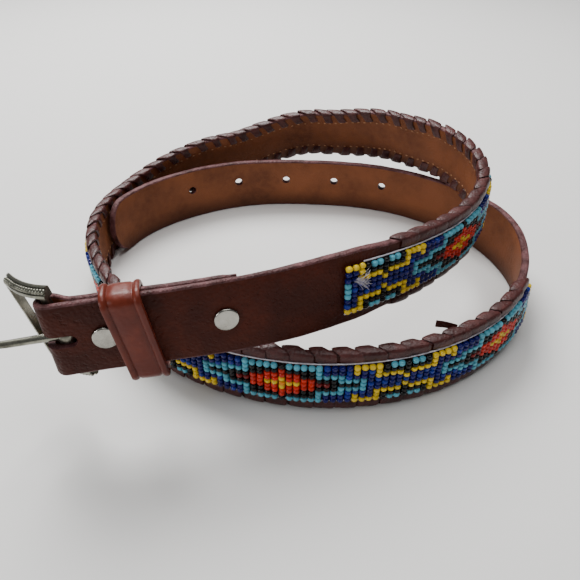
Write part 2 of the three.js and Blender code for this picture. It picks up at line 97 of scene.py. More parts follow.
print("beads on the band:", COLUMNS * 9)

# %% [markdown]
# ## The coil
# Real leather bends more in some stretches than in others. A curve drawn by hand could follow it, but its
# length would change with every point that is moved. A table of turns keeps the length exact: the heading
# turns by so many degrees for each hundredth of the length. The first turn rides on the second one where
# they cross, so it is lifted by a whole belt width, and it leans inwards a little.

# %% Tables of the coil, by share of the length
TURNS = {
    0: -1.8, 0.06: 2.3, 0.085: 3.7, 0.11: 3.3, 0.14: 2, 0.17: 7.3, 0.195: 12.7, 0.215: 11.4, 0.24: 5.9,
    0.265: 5.3, 0.305: 7.4, 0.345: 6.6, 0.385: 1.8, 0.425: 10.6, 0.465: 9.1, 0.505: 5.7, 0.545: 4.8,
    0.585: 5.2, 0.625: 5, 0.66: 6, 0.69: 6.2, 0.715: 8.5, 0.745: 9.2, 0.77: 11.7, 0.8: 5.3, 0.84: 6.2,
    0.88: 1.6, 0.92: 6.5, 0.955: 5.5, 1: 14,
}
LIFTS = {0: 1, 0.085: 1, 0.155: 0.87, 0.235: 1, 0.265: 0.93, 0.31: 0.74, 0.37: 0.36, 0.44: 0, 1: 0}
LEANS = {
    0: 4, 0.085: 10, 0.155: 1, 0.24: 9, 0.32: 16, 0.41: 6, 0.49: 0, 0.68: 2, 0.73: 8, 0.77: 0, 0.83: 3,
    0.89: 3, 0.95: -2, 1: -2,
}
START_HEADING = np.radians(14)
print("rows:", len(TURNS), "turns,", len(LIFTS), "lifts,", len(LEANS), "leans")


# %% Lay the coil
def smooth(t):
    t = np.clip(t, 0, 1)
    return t * t * (3 - 2 * t)


def ramp(x, low, high):
    return smooth((np.asarray(x, dtype=float) - low) / (high - low))


def eased(table, share):
    at = np.array(list(table))
    values = np.array(list(table.values()), dtype=float)
    row = np.clip(np.searchsorted(at, share, side="left") - 1, 0, len(at) - 2)
    t = smooth((share - at[row]) / (at[row + 1] - at[row]))
    return values[row] + (values[row + 1] - values[row]) * t


def unit(v):
    return v / np.linalg.norm(v, axis=-1, keepdims=True)


def running_sum(v, step):
    return np.concatenate([[0], np.cumsum((v[1:] + v[:-1]) / 2 * step)])


STATION = 1.5


def lay_coil():
    count = round(COIL_LENGTH / STATION)
    step = COIL_LENGTH / count
    share = np.arange(count + 1) / count
    along_it = share * COIL_LENGTH
    lift = CROSSING_LIFT * eased(LIFTS, share)
    lift += LACE_REACH * (1 - ramp(along_it, LACE_FINISH, LACE_FINISH + 2 * WIDTH))
    lean = np.radians(eased(LEANS, share))
    z = lift + WIDTH / 2 * np.cos(lean) + FACE * np.abs(np.sin(lean))
    slope = np.gradient(z, step)
    slope[0] = (z[1] - z[0]) / step
    slope[-1] = (z[-1] - z[-2]) / step
    turn = np.radians(np.interp(share, list(TURNS), list(TURNS.values()))) / (COIL_LENGTH / 100)
    heading = START_HEADING + running_sum(turn, step)
    run = np.sqrt(1 - slope**2)
    dx = np.cos(heading) * run
    dy = np.sin(heading) * run
    centre = np.stack([running_sum(dx, step), running_sum(dy, step), z], axis=-1)
    along = np.stack([dx, dy, slope], axis=-1)
    inward = np.stack([-np.sin(heading), np.cos(heading), np.zeros_like(heading)], axis=-1)
    up = np.cross(along, inward)
    across = up * np.cos(lean)[:, None] + inward * np.sin(lean)[:, None]
    out = np.cross(along, across)
    return step, centre, along, across, out


STEP, CENTRE, ALONG, ACROSS, OUT = lay_coil()
print("stations on the coil:", len(CENTRE), "every", round(STEP, 3), "mm")


# %% Points on the belt
shift = np.zeros(3)


def frames_at(s):
    s = np.asarray(s, dtype=float)
    place = np.clip(s / STEP, 0, len(CENTRE) - 1)
    low = np.minimum(place.astype(int), len(CENTRE) - 2)
    t = (place - low)[..., None]
    centre, along, across, out = (v[low] * (1 - t) + v[low + 1] * t for v in (CENTRE, ALONG, ACROSS, OUT))
    along, across, out = unit(along), unit(across), unit(out)
    beyond = (s - np.clip(s, 0, COIL_LENGTH))[..., None]
    return centre + along * beyond, along, across, out


def on_belt(s, v, c):
    """Points in metres, for distances along, across and outwards in millimetres."""
    s, v, c = np.broadcast_arrays(*(np.asarray(x, dtype=float) for x in (s, v, c)))
    centre, along, across, out = frames_at(s)
    return (centre + across * v[..., None] + out * c[..., None]) * MM + shift


BAND_HALF = WIDTH / 2 - 4
BAND_BASE = FACE + GAP
BAND_TOP = BAND_BASE + 1.8
sides = [BAND_HALF, -BAND_HALF, BAND_HALF, -BAND_HALF]
depths = [BAND_BASE, BAND_BASE, BAND_TOP, BAND_TOP]
band = on_belt(np.linspace(BAND_START, BAND_END, 80)[:, None], sides, depths)
low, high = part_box("bead_band")
shift = (np.array(low) + np.array(high) - band.min(axis=(0, 1)) - band.max(axis=(0, 1))) / 2
print("fold's edge in the frame, mm:", np.round(on_belt(0, 0, 0) / MM, 2))

# %% [markdown]
# ## Shaping and placing
# Leather, lace and metal are long pieces here, with a section that changes slowly. They could be curves
# with a bevel object, but a curve twists by itself and a belt's section has to stay upright. Rings of
# points joined into a sweep give each section its exact place. What repeats, such as beads, lace turns
# and stitches, is one small piece placed on many points by Geometry Nodes, then turned into a plain mesh.


# %% Swept bodies
def signed_volume(points, faces):
    total = 0.0
    for face in faces:
        a = points[face[0]]
        for i in range(1, len(face) - 1):
            total += np.dot(a, np.cross(points[face[i]], points[face[i + 1]]))
    return total


def sweep(name, rings, looped=False, slots=None, uv=None, cap_slot=0):
    rings = np.asarray(rings)
    count, sides = rings.shape[:2]
    points = rings.reshape(-1, 3)
    faces = []
    indices = []
    for i in range(count if looped else count - 1):
        a = i * sides
        b = ((i + 1) % count) * sides
        for j in range(sides):
            k = (j + 1) % sides
            faces.append((a + j, a + k, b + k, b + j))
            indices.append(slots[j] if slots else 0)
    if not looped:
        faces.append(tuple(range(sides))[::-1])
        faces.append(tuple((count - 1) * sides + j for j in range(sides)))
        indices += [cap_slot, cap_slot]
    if signed_volume(points, faces) < 0:
        faces = [face[::-1] for face in faces]
    mesh = bpy.data.meshes.new(name)
    mesh.from_pydata(points.tolist(), [], faces)
    mesh.polygons.foreach_set("material_index", indices)
    if uv is not None:
        layer = mesh.uv_layers.new(name="belt")
        flat = np.asarray(uv).reshape(-1, 2)
        corner = np.empty(len(mesh.loops), dtype=np.int32)
        mesh.loops.foreach_get("vertex_index", corner)
        layer.data.foreach_set("uv", flat[corner].astype(np.float32).ravel())
    mesh.polygons.foreach_set("use_smooth", [True] * len(mesh.polygons))
    mesh.update()
    obj = bpy.data.objects.new(name, mesh)
    bpy.context.collection.objects.link(obj)
    return obj


def full_turn(sides):
    return 2 * np.pi * np.arange(sides) / sides


def tube_rings(path, radius, sides):
    """Rings round a path of points in metres."""
    path = np.asarray(path)
    steep = [0.13, 0.21, 1.0]
    direction = unit(np.gradient(path, axis=0))
    aside = unit(np.cross(direction, steep))
    rise = np.cross(direction, aside)
    angle = full_turn(sides)[:, None]
    ring = np.cos(angle) * aside[:, None] + np.sin(angle) * rise[:, None]
    return path[:, None] + ring * radius


def spun_rings(profile, sides):
    """Rings round the Y axis for rows of place along it and radius."""
    return [[(r * np.cos(a), y, r * np.sin(a)) for a in full_turn(sides)] for y, r in profile]


def join_all(name, parts):
    bpy.ops.object.select_all(action="DESELECT")
    for part in parts:
        part.select_set(True)
    bpy.context.view_layer.objects.active = parts[0]
    bpy.ops.object.join()
    parts[0].name = name
    parts[0].data.name = name
    return parts[0]


def sharpen(obj, degrees=40):
    obj.data.set_sharp_from_angle(angle=np.radians(degrees))
    return obj


def wobble(s, seed, size=1.0):
    """A slow, even wander between about -1 and 1."""
    local = np.random.default_rng(seed)
    total = 0
    for wave in (37, 17, 8.3, 4.1):
        total = total + np.sin(np.asarray(s) / wave * 2 * np.pi / size + local.uniform(0, 6.3)) * wave**0.35
    return total / 8


print("helpers ready")


# %% [markdown]
# The same small tree places beads, lace turns, stitches and rope strands. Copying objects in a loop would
# work too, but thousands of objects are slow, while a tree makes them in one step. Each point carries
# which way is along and which is out, and the tree adds small differences of size and angle from a fixed
# seed.


# %% Helpers for node trees
def math_node(tree, operation, first, second):
    node = tree.nodes.new("ShaderNodeMath")
    node.operation = operation
    for socket, value in zip(node.inputs, (first, second)):
        if isinstance(value, (int, float)):
            socket.default_value = value
        else:
            tree.links.new(value, socket)
    return node.outputs[0]


def vector_attribute(tree, name):
    node = tree.nodes.new("GeometryNodeInputNamedAttribute")
    node.data_type = "FLOAT_VECTOR"
    node.inputs["Name"].default_value = name
    return node.outputs["Attribute"]


def random_vector(tree, low, high, seed):
    node = tree.nodes.new("FunctionNodeRandomValue")
    node.data_type = "FLOAT_VECTOR"
    tree.links.new(low, node.inputs["Min"])
    tree.links.new(high, node.inputs["Max"])
    tree.links.new(seed, node.inputs["Seed"])
    return node.outputs["Value"]


print("node helpers ready")


# %% Which way each placed piece faces, and how large it is
def facing(tree, given):
    axes = tree.nodes.new("FunctionNodeAxesToRotation")
    axes.primary_axis = "X"
    axes.secondary_axis = "Z"
    tree.links.new(vector_attribute(tree, "along"), axes.inputs["Primary Axis"])
    tree.links.new(vector_attribute(tree, "out"), axes.inputs["Secondary Axis"])
    spread = given.outputs["Turn Spread"]
    jitter = random_vector(tree, math_node(tree, "MULTIPLY", spread, -1), spread, given.outputs["Seed"])
    euler = tree.nodes.new("FunctionNodeEulerToRotation")
    tree.links.new(jitter, euler.inputs[0])
    turned = tree.nodes.new("FunctionNodeRotateRotation")
    turned.rotation_space = "LOCAL"
    tree.links.new(axes.outputs[0], turned.inputs["Rotation"])
    tree.links.new(euler.outputs[0], turned.inputs["Rotate By"])
    return turned.outputs[0]


def sizing(tree, given):
    spread = given.outputs["Size Spread"]
    smaller = math_node(tree, "SUBTRACT", 1, spread)
    larger = math_node(tree, "ADD", 1, spread)
    scale = tree.nodes.new("ShaderNodeVectorMath")
    scale.operation = "MULTIPLY"
    tree.links.new(vector_attribute(tree, "size"), scale.inputs[0])
    tree.links.new(random_vector(tree, smaller, larger, given.outputs["Seed"]), scale.inputs[1])
    return scale.outputs[0]


print("facing and sizing ready")


# %% Geometry Nodes tree that places a piece on points
def place_tree():
    tree = bpy.data.node_groups.new("Place on points", "GeometryNodeTree")
    inputs = {
        "Geometry": "Geometry",
        "Piece": "Object",
        "Size Spread": "Float",
        "Turn Spread": "Float",
        "Seed": "Int",
        "Material": "Material",
    }
    for label, kind in inputs.items():
        tree.interface.new_socket(label, in_out="INPUT", socket_type="NodeSocket" + kind)
    tree.interface.new_socket("Geometry", in_out="OUTPUT", socket_type="NodeSocketGeometry")
    link = tree.links.new
    given = tree.nodes.new("NodeGroupInput")
    result = tree.nodes.new("NodeGroupOutput")
    piece = tree.nodes.new("GeometryNodeObjectInfo")
    link(given.outputs["Piece"], piece.inputs["Object"])
    place = tree.nodes.new("GeometryNodeInstanceOnPoints")
    link(given.outputs["Geometry"], place.inputs["Points"])
    link(piece.outputs["Geometry"], place.inputs["Instance"])
    link(facing(tree, given), place.inputs["Rotation"])
    link(sizing(tree, given), place.inputs["Scale"])
    real = tree.nodes.new("GeometryNodeRealizeInstances")
    painted = tree.nodes.new("GeometryNodeSetMaterial")
    link(place.outputs["Instances"], real.inputs["Geometry"])
    link(real.outputs["Geometry"], painted.inputs["Geometry"])
    link(given.outputs["Material"], painted.inputs["Material"])
    link(painted.outputs["Geometry"], result.inputs["Geometry"])
    return tree


PLACE = place_tree()
SOCKETS = {i.name: i.identifier for i in PLACE.interface.items_tree if i.in_out == "INPUT"}
print("tree inputs:", ", ".join(SOCKETS))


# %% Place a piece on points and keep the plain mesh
def placed(name, piece, points, facings, size, material, seed, spreads, colours=None):
    """One mesh of a piece on each point. The spreads are of size, as a share, and of angle, in radians."""
    along, out = facings
    mesh = bpy.data.meshes.new(name + " points")
    mesh.from_pydata(np.asarray(points).tolist(), [], [])
    for label, values in (("along", along), ("out", out), ("size", size)):
        layer = mesh.attributes.new(label, "FLOAT_VECTOR", "POINT")
        full = np.broadcast_to(np.asarray(values, dtype=np.float32), (len(points), 3))
        layer.data.foreach_set("vector", np.ascontiguousarray(full).ravel())
    if colours is not None:
        layer = mesh.attributes.new("tone", "FLOAT_COLOR", "POINT")
        layer.data.foreach_set("color", np.asarray(colours, dtype=np.float32).ravel())
    carrier = bpy.data.objects.new(name + " points", mesh)
    bpy.context.collection.objects.link(carrier)
    modifier = carrier.modifiers.new("Place", "NODES")
    modifier.node_group = PLACE
    values = {"Piece": piece, "Material": material, "Seed": seed}
    values["Size Spread"], values["Turn Spread"] = spreads
    for label, value in values.items():
        modifier[SOCKETS[label]] = value
    bpy.context.view_layer.update()
    seen = carrier.evaluated_get(bpy.context.evaluated_depsgraph_get())
    plain = bpy.data.meshes.new_from_object(seen)
    for label in ("along", "out", "size"):
        if label in plain.attributes:
            plain.attributes.remove(plain.attributes[label])
    plain.polygons.foreach_set("use_smooth", [True] * len(plain.polygons))
    plain.name = name
    carrier.modifiers.clear()
    bpy.data.objects.remove(carrier)
    obj = bpy.data.objects.new(name, plain)
    bpy.context.collection.objects.link(obj)
    return obj


def discard(obj):
    bpy.data.objects.remove(obj)


def finished(obj, body, nodes, material=None):
    if material is not None:
        obj.data.materials.clear()
        obj.data.materials.append(material)
    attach(obj, body)
    if nodes:
        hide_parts(*nodes)
    print(obj.name, "-", len(obj.data.polygons), "faces")
    return obj


print("placing ready")

# %% [markdown]
# ## Finishes
# The real leather is dyed dark outside, raw tan inside, and rubbed paler on its edges and lace. Painted
# textures could show that, but each piece would have to be unwrapped for them. Noise on Object
# coordinates needs no unwrapping. Two effects are shared as groups: the grain of leather, and patches of
# a second tone where a surface is worn.


# %% Helpers for finishes
def srgb(red, green, blue):
    c = np.array([red, green, blue]) / 255
    linear = np.where(c <= 0.04045, c / 12.92, ((c + 0.055) / 1.055) ** 2.4)
    return (*linear.tolist(), 1.0)


def new_group(name, inputs, outputs):
    tree = bpy.data.node_groups.new(name, "ShaderNodeTree")
    for label, kind, value in inputs:
        socket = tree.interface.new_socket(label, in_out="INPUT", socket_type=kind)
        socket.default_value = value
    for label, kind in outputs:
        tree.interface.new_socket(label, in_out="OUTPUT", socket_type=kind)
    given = tree.nodes.new("NodeGroupInput")
    result = tree.nodes.new("NodeGroupOutput")
    return tree, given, result


def mapped(tree, value, low, high, to_low=0.0, to_high=1.0):
    node = tree.nodes.new("ShaderNodeMapRange")
    node.inputs["From Min"].default_value = low
    node.inputs["From Max"].default_value = high
    node.inputs["To Min"].default_value = to_low
    node.inputs["To Max"].default_value = to_high
    tree.links.new(value, node.inputs["Value"])
    return node.outputs["Result"]


def noise(tree, scale, detail=3.0):
    place = tree.nodes.new("ShaderNodeTexCoord")
    node = tree.nodes.new("ShaderNodeTexNoise")
    node.inputs["Detail"].default_value = detail
    node.inputs["Roughness"].default_value = 0.55
    if isinstance(scale, (int, float)):
        node.inputs["Scale"].default_value = scale
    else:
        tree.links.new(scale, node.inputs["Scale"])
    tree.links.new(place.outputs["Object"], node.inputs["Vector"])
    return node.outputs["Fac"]


def grain_group():
    number = "NodeSocketFloat"
    inputs = [("Cells", number, 900.0), ("Pores", number, 420.0), ("Fine", number, 0.4)]
    tree, given, result = new_group("Leather grain", inputs, [("Height", number)])
    place = tree.nodes.new("ShaderNodeTexCoord")
    cells = tree.nodes.new("ShaderNodeTexVoronoi")
    cells.feature = "SMOOTH_F1"
    tree.links.new(place.outputs["Object"], cells.inputs["Vector"])
    tree.links.new(given.outputs["Cells"], cells.inputs["Scale"])
    pebble = mapped(tree, cells.outputs["Distance"], 0.1, 0.75, 1.0, 0.0)
    fine = noise(tree, math_node(tree, "MULTIPLY", given.outputs["Cells"], 2.3))
    fine = math_node(tree, "MULTIPLY", fine, given.outputs["Fine"])
    pits = mapped(tree, noise(tree, given.outputs["Pores"], 2.0), 0.62, 0.7)
    height = math_node(tree, "SUBTRACT", math_node(tree, "ADD", pebble, fine), pits)
    tree.links.new(height, result.inputs["Height"])
    return tree


def worn_group():
    number = "NodeSocketFloat"
    colour = "NodeSocketColor"
    inputs = [
        ("Base", colour, (0.1, 0.05, 0.03, 1)),
        ("Worn", colour, (0.2, 0.1, 0.07, 1)),
        ("Patches", number, 60.0),
        ("Amount", number, 0.5),
    ]
    tree, given, result = new_group("Worn tone", inputs, [("Color", colour), ("Mask", number)])
    broad = mapped(tree, noise(tree, given.outputs["Patches"], 4.0), 0.38, 0.66)
    close = noise(tree, math_node(tree, "MULTIPLY", given.outputs["Patches"], 7.0))
    close = mapped(tree, close, 0.35, 0.7, 0.5, 1.0)
    mask = math_node(tree, "MULTIPLY", close, broad)
    mask = math_node(tree, "MULTIPLY", mask, given.outputs["Amount"])
    mix = tree.nodes.new("ShaderNodeMix")
    mix.data_type = "RGBA"
    tree.links.new(mask, mix.inputs[0])
    tree.links.new(given.outputs["Base"], mix.inputs[6])
    tree.links.new(given.outputs["Worn"], mix.inputs[7])
    tree.links.new(mix.outputs[2], result.inputs["Color"])
    tree.links.new(mask, result.inputs["Mask"])
    return tree


GRAIN = grain_group()
WORN = worn_group()
print("groups:", GRAIN.name, "and", WORN.name)


# %% Materials from the groups
def material(name, tones, patches, rough, metal=0.0, coat=0.0, specular=0.5, rough_worn=0.1):
    """The tones are base and worn, and the patches are their scale and their amount."""
    mat = bpy.data.materials.new(name)
    mat.use_nodes = True
    tree = mat.node_tree
    shader = tree.nodes["Principled BSDF"]
    tone = tree.nodes.new("ShaderNodeGroup")
    tone.node_tree = WORN
    tone.inputs["Base"].default_value = srgb(*tones[0])
    tone.inputs["Worn"].default_value = srgb(*tones[1])
    tone.inputs["Patches"].default_value = patches[0]
    tone.inputs["Amount"].default_value = patches[1]
    tree.links.new(tone.outputs["Color"], shader.inputs["Base Color"])
    roughness = math_node(tree, "ADD", math_node(tree, "MULTIPLY", tone.outputs["Mask"], rough_worn), rough)
    tree.links.new(roughness, shader.inputs["Roughness"])
    shader.inputs["Metallic"].default_value = metal
    shader.inputs["Coat Weight"].default_value = coat
    shader.inputs["Coat Roughness"].default_value = 0.25
    shader.inputs["Specular IOR Level"].default_value = specular
    return mat


def add_grain(mat, cells, pores, fine, depth):
    tree = mat.node_tree
    skin = tree.nodes.new("ShaderNodeGroup")
    skin.node_tree = GRAIN
    skin.inputs["Cells"].default_value = cells
    skin.inputs["Pores"].default_value = pores
    skin.inputs["Fine"].default_value = fine
    bump = tree.nodes.new("ShaderNodeBump")
    bump.inputs["Strength"].default_value = depth
    bump.inputs["Distance"].default_value = 0.0002
    tree.links.new(skin.outputs["Height"], bump.inputs["Height"])
    tree.links.new(bump.outputs["Normal"], tree.nodes["Principled BSDF"].inputs["Normal"])


print("material makers ready")

# %% [markdown]
# Leather needs two tones, patches and a grain that bumps the light. Each kind gets its own scale: fine
# and deep on the worn edges, soft on the inner face, and nearly smooth on the polished keeper.

# %% Leathers
OUTER = material("Strap outside", [(56, 20, 11), (88, 36, 21)], (70, 0.7), 0.5, specular=0.14)
EDGE = material("Strap edge", [(64, 28, 27), (128, 84, 86)], (260, 0.8), 0.5, specular=0.3)
INNER = material("Strap inside", [(126, 72, 40), (86, 47, 26)], (45, 0.9), 0.6, specular=0.25)
LACE = material("Lace", [(52, 20, 18), (94, 48, 45)], (200, 0.7), 0.4, specular=0.32)
KEEPER = material("Keeper", [(84, 27, 15), (118, 48, 30)], (80, 0.7), 0.34, coat=0.06, specular=0.25)
add_grain(OUTER, 1000, 500, 0.5, 0.8)
add_grain(EDGE, 1500, 900, 0.9, 0.9)
add_grain(INNER, 1300, 700, 0.8, 0.45)
add_grain(LACE, 1400, 600, 0.6, 0.5)
add_grain(KEEPER, 900, 300, 0.2, 0.25)
print("leathers:", len(bpy.data.materials))

# %% Threads and metals
THREAD = material("Thread", [(226, 222, 230), (186, 178, 188)], (300, 0.8), 0.8)
TAN_THREAD = material("Stitch thread", [(172, 124, 88), (120, 82, 54)], (300, 0.8), 0.8)
NICKEL = material("Nickel", [(146, 145, 132), (54, 52, 45)], (160, 0.9), 0.26, metal=1.0, rough_worn=0.25)
CAP_METAL = material("Cap", [(176, 174, 166), (120, 116, 108)], (120, 0.6), 0.2, metal=1.0, rough_worn=0.2)
print("materials:", len(bpy.data.materials))

# %% [markdown]
# The beads are opaque glass in eight colours. A material for each would work, but one that reads a colour
# stored on the beads lets every bead be a little lighter or darker than its neighbours, as real ones are.


# %% Bead glass takes its colour from the beads
def bead_material():
    mat = bpy.data.materials.new("Beads")
    mat.use_nodes = True
    tree = mat.node_tree
    shader = tree.nodes["Principled BSDF"]
    tone = tree.nodes.new("ShaderNodeAttribute")
    tone.attribute_name = "tone"
    tree.links.new(tone.outputs["Color"], shader.inputs["Base Color"])
    haze = mapped(tree, noise(tree, 500.0, 2.0), 0.4, 0.7, 0.08, 0.2)
    tree.links.new(haze, shader.inputs["Roughness"])
    shader.inputs["Specular IOR Level"].default_value = 0.28
    return mat


BEADS = bead_material()
print("bead colours come from the attribute tone")


# %% [markdown]
# The raw inner face is made darker towards its lower edge. This follows the strap and not the space
# around it, so it reads the strap's own UV map, whose second coordinate runs across the belt.


# %% The inner face darkens towards its lower edge
def darken_low(mat, low, high, least):
    tree = mat.node_tree
    shader = tree.nodes["Principled BSDF"]
    source = shader.inputs["Base Color"].links[0].from_socket
    place = tree.nodes.new("ShaderNodeUVMap")
    place.uv_map = "belt"
    split = tree.nodes.new("ShaderNodeSeparateXYZ")
    tree.links.new(place.outputs["UV"], split.inputs[0])
    shade = mapped(tree, split.outputs["Y"], low, high, least, 1.0)
    mix = tree.nodes.new("ShaderNodeMix")
    mix.data_type = "RGBA"
    mix.inputs[6].default_value = srgb(54, 28, 16)
    tree.links.new(shade, mix.inputs[0])
    tree.links.new(source, mix.inputs[7])
    tree.links.new(mix.outputs[2], shader.inputs["Base Color"])


darken_low(INNER, low=0.02, high=0.36, least=0.25)
print("inner face darkened")

# %% [markdown]
# ## Camera, floor and light
# The camera stands where the photo was taken from, a little above the belt. One strong lamp would give
# hard shadows, so the main light is a broad disk above and behind, which brightens the top edges and
# leaves the near faces in soft shade. A small light from the left makes the keeper and the grain stand
# out.

# %% Camera
camera_data = bpy.data.cameras.new("Camera")
camera_data.lens = 32.35
camera_data.sensor_width = 36
camera_data.shift_y = -1 / 580
camera_data.clip_start = 0.01
camera = bpy.data.objects.new("Camera", camera_data)
bpy.context.collection.objects.link(camera)
camera.location = (-0.00524, -0.18273, 0.14499)
camera.rotation_euler = (np.radians(49.954), 0, 0)
bpy.context.scene.camera = camera
print("camera at", tuple(round(x, 4) for x in camera.location))


# %% Floor and lights
def light(name, place, aim, size, power):
    data = bpy.data.lights.new(name, "AREA")
    data.shape = "DISK"
    data.size = size
    data.energy = power
    obj = bpy.data.objects.new(name, data)
    bpy.context.collection.objects.link(obj)
    obj.location = place
    obj.rotation_euler = (Vector(aim) - Vector(place)).to_track_quat("-Z", "Y").to_euler()
    return obj


bpy.ops.mesh.primitive_plane_add(size=6, location=(0, 0, 0))
floor = bpy.context.object
floor.name = "Floor"
floor_paint = bpy.data.materials.new("Floor")
floor_paint.use_nodes = True
floor_shader = floor_paint.node_tree.nodes["Principled BSDF"]
floor_shader.inputs["Base Color"].default_value = (0.72, 0.71, 0.69, 1)
floor_shader.inputs["Roughness"].default_value = 0.85
floor.data.materials.append(floor_paint)
key = light("Window", (-0.2, 0.5, 0.75), (0, 0, 0.03), 0.55, 15)
top = light("Ceiling", (0.1, 0.05, 1.0), (0, 0, 0), 0.9, 6)
fill = light("Side", (-0.55, -0.5, 0.32), (-0.02, -0.06, 0.03), 0.16, 1.5)
world = bpy.data.worlds.new("World")
world.use_nodes = True
sky = world.node_tree.nodes["Background"]
sky.inputs["Color"].default_value = (0.78, 0.8, 0.84, 1)
sky.inputs["Strength"].default_value = 0.2
bpy.context.scene.world = world
print("lights:", ", ".join(lamp.name for lamp in (key, top, fill)))

# %% [markdown]
# ## Strap
# The strap is one piece of leather. Near the buckle it is thinner and folded back round the bar, and the
# far end is a rounded tip. A flat strip with Solidify would give it the same thickness everywhere and
# hard corners. So it is swept through full sections with rounded corners, whose thickness changes along
# the way. Each side of a section has its own finish: the dyed outside, the rubbed edges or the tan
# inside.


# %% Strap's cross-section
CORNER_RADIUS = 0.75
CORNER_STEPS = 3
OUTSIDE, BORDER, INSIDE = 0, 1, 2


def strap_outline(half, thick):
    """Points round the section as (across, depth), and which finish each side of it has."""
    radius = np.minimum(CORNER_RADIUS, half * 0.45)
    t = thick / 2
    corners = [(half - radius, t - radius, 90), (half - radius, radius - t, 0)]
    corners += [(radius - half, radius - t, -90), (radius - half, t - radius, 180)]
    points = []
    finish = []
    for number, (v, depth, start) in enumerate(corners):
        for i in range(CORNER_STEPS + 1):
            angle = np.radians(start - 90 * i / CORNER_STEPS)
            points.append((v + radius * np.cos(angle), depth + radius * np.sin(angle)))
            finish.append(BORDER)
        if number in (1, 3):
            inside = number == 1
            finish[-1] = INSIDE if inside else OUTSIDE
            reach = (half - radius) * (-1 if inside else 1)
            for i in (1, 2, 3):
                points.append((-reach * (1 - i / 2), -t if inside else t))
                finish.append(finish[-1])
    return points, finish


def laced_share(s):
    enter = ramp(s, LACE_START - LACE_SLANT - LACE_PITCH, LACE_START - LACE_SLANT)
    leave = ramp(s, LACE_FINISH + LACE_SLANT, LACE_FINISH + LACE_SLANT + LACE_PITCH)
    return enter - leave


def strap_half(s):
    half = WIDTH / 2 - LACE_BITE * laced_share(s)
    t = np.clip(1 - (TIP_AT - s) / TIP, 0, 1)
    return half * np.sqrt(np.maximum(1 - t * t, 0.004))


print("section points:", len(strap_outline(WIDTH / 2, THICKNESS)[0]))


# %% Strap's sections from the folded end round the bar to the tip
def layer_gap(s):
    return 2 * BEND_RADIUS + (LAYER_STEP - 2 * BEND_RADIUS) * ramp(s, POCKET_END, POCKET_CLOSED)


def folded_slant(s):
    enter = ramp(s, FOLD_CENTRE, POCKET_END)
    leave = ramp(s, POCKET_CLOSED, CAPS_AT["cap_2"])
    return np.tan(TILT) * (enter - leave)


def strap_sections():
    sections = []
    spans = [(FOLD_BACK, POCKET_CLOSED, 22), (POCKET_CLOSED, POCKET_END, 8), (POCKET_END, FOLD_CENTRE, 4)]
    for start, end, steps in spans:
        for s in np.linspace(start, end, steps, endpoint=False):
            thick = SKIVED * (1 - 0.7 * ramp(s, FOLD_BACK - 5, FOLD_BACK + 1))
            c = OUTER_LAYER - layer_gap(s) + (SKIVED - thick) / 2
            sections.append((s, c, -1, 0, folded_slant(s), thick))
    for angle in np.linspace(0, np.pi, 15):
        s = FOLD_CENTRE - BEND_RADIUS * np.sin(angle)
        c = OUTER_LAYER - BEND_RADIUS - BEND_RADIUS * np.cos(angle)
        sections.append((s, c, -np.cos(angle), -np.sin(angle), 0, SKIVED))
    plain = np.arange(FOLD_CENTRE + 2, TIP_AT - TIP, 2)
    tip = TIP_AT - TIP * (1 - np.sin(np.pi / 2 * np.linspace(0, 1, 14)))
    for s in np.concatenate([plain, tip]):
        thick = SKIVED + (THICKNESS - SKIVED) * ramp(s, FOLD_BACK, BAND_START)
        sections.append((s, FACE - thick / 2, 1, 0, 0, thick))
    return sections


def strap_body():
    rings = []
    coords = []
    for s, c, face, lean, slant, thick in strap_sections():
        outline, finish = strap_outline(strap_half(s), thick)
        v, depth = np.array(outline).T
        ragged = 1 + 0.006 * wobble(s, 3, 0.6) * np.sign(np.abs(v) - 4)
        rings.append(on_belt(s + lean * depth - v * slant, v * ragged, c + face * depth))
        coords.append(np.stack([np.full_like(v, s / TIP_AT), v / WIDTH + 0.5], axis=-1))
    return sweep("strap", rings, slots=finish, uv=coords, cap_slot=BORDER)


strap = strap_body()
for paint in (OUTER, EDGE, INNER):
    strap.data.materials.append(paint)
print("strap:", len(strap.data.polygons), "faces before the cuts")


# %% [markdown]
# Five holes are punched in the tail, one slot lets the prong through the fold, and each snap has its own
# hole. Building them into the sweep would break up its even rows. One exact boolean with all the cutters
# joined cuts them cleanly, as a punch does, and gives the walls of the cuts the edge's finish.


# %% Punches for the holes
def pin(name, s, v, radius, low, high, sides=28):
    angle = full_turn(sides)
    depth = np.array([low, high])[:, None]
    rings = on_belt(s + radius * np.cos(angle)[None], v + radius * np.sin(angle)[None], depth)
    return sweep(name, rings)


FIRST_HOLE_FROM_TIP = 148.3
HOLE_SPACING = 24.7
HOLE_HEIGHT = 2.3
HOLE_RADIUS = 1.9
HOLES_AT = [TIP_AT - FIRST_HOLE_FROM_TIP + HOLE_SPACING * i for i in range(5)]
under_fold = FACE - LAYER_STEP - 2 * SKIVED
THROUGH = 5
cutters = [pin("hole", s, HOLE_HEIGHT, HOLE_RADIUS, -THROUGH, THROUGH) for s in HOLES_AT]
cutters += [pin("post", s, 0, HOLE_RADIUS, under_fold, FACE + 1, 16) for s in CAPS_AT.values()]
print("punches:", len(cutters))

